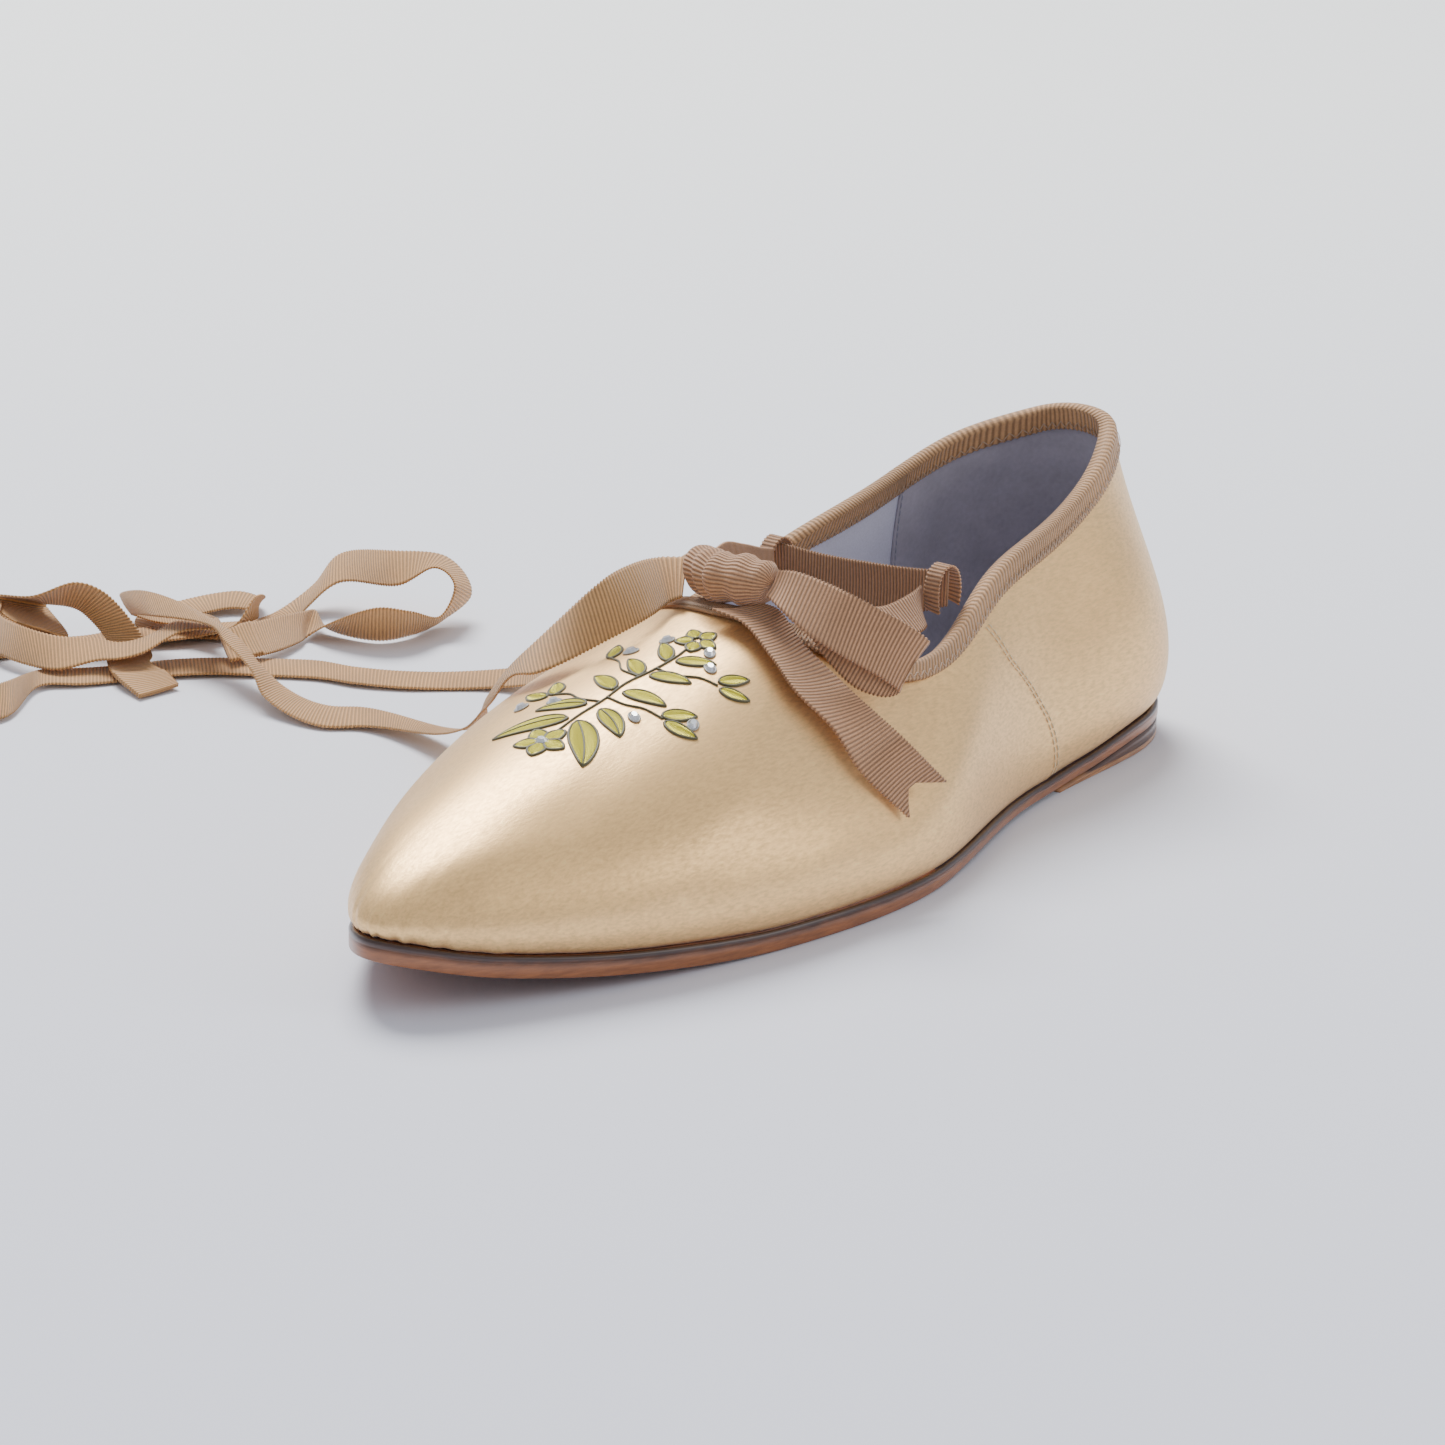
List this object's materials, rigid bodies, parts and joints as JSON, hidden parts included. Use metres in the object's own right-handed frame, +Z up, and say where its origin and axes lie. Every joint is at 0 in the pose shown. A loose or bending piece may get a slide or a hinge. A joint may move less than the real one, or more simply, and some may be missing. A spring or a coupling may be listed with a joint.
{
  "type": "regency slipper",
  "caption": "Flat slipper with a pointed toe, a low throat bound in ribbon, a thin leather sole and long ribbon ties knotted in a bow at the throat.",
  "frame": {"origin": "middle of the shoe's width and length, on the plane that its sole stands on", "axes": "+Y towards the heel, toe towards -Y, +X towards the inner side of the right foot, +Z up"},
  "size_m": [0.2871, 0.2628, 0.0736],
  "materials": {
    "sole_leather": "brown leather sole, edge burnished dark",
    "heel_leather": "brown stacked leather, waxed edge",
    "satin": "champagne satin, soft gloss",
    "lining": "pale lining with a soft nap",
    "ribbon": "tan grosgrain ribbon, ribbed across its width"
  },
  "bodies": {
    "root": {"outsole": "sole_leather", "heel_lift": "heel_leather", "upper": "satin", "insole": "lining", "topline_binding": "ribbon", "side_loop_inner": "ribbon", "side_loop_outer": "ribbon", "far_band": "ribbon", "throat_band": "ribbon", "return_band": "ribbon", "bow_knot": "ribbon", "bow_loop": "ribbon", "bow_tail": "ribbon", "tie_front": "ribbon", "tie_back": "ribbon"}
  },
  "joints": []
}
